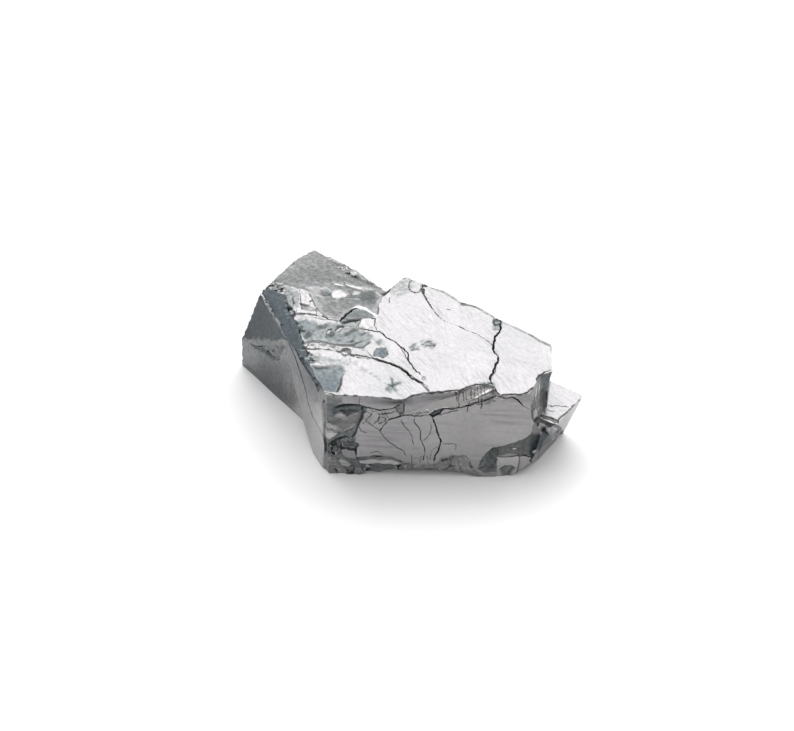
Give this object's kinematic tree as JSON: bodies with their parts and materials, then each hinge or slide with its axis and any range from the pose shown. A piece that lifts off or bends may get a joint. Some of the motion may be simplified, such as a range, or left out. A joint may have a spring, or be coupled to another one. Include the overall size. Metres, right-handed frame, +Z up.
{
  "type": "shungite rock",
  "caption": "Rough broken piece of noble shungite with a cracked plated top, flat cleaved sides, shell-shaped scars, a low step at one end and a flat underside.",
  "frame": {"origin": "centre of the bounding box on the surface the rock rests on", "axes": "+X towards the low step at the right end, along the longest extent; -Y towards the steep front facet; +Z up"},
  "size_m": [0.0456, 0.0342, 0.0138],
  "materials": {
    "shungite": "dark grey with a strong metallic lustre, like graphite or anthracite, glassy in the broken hollows"
  },
  "bodies": {
    "root": {"shungite_rock": "shungite"}
  },
  "joints": []
}
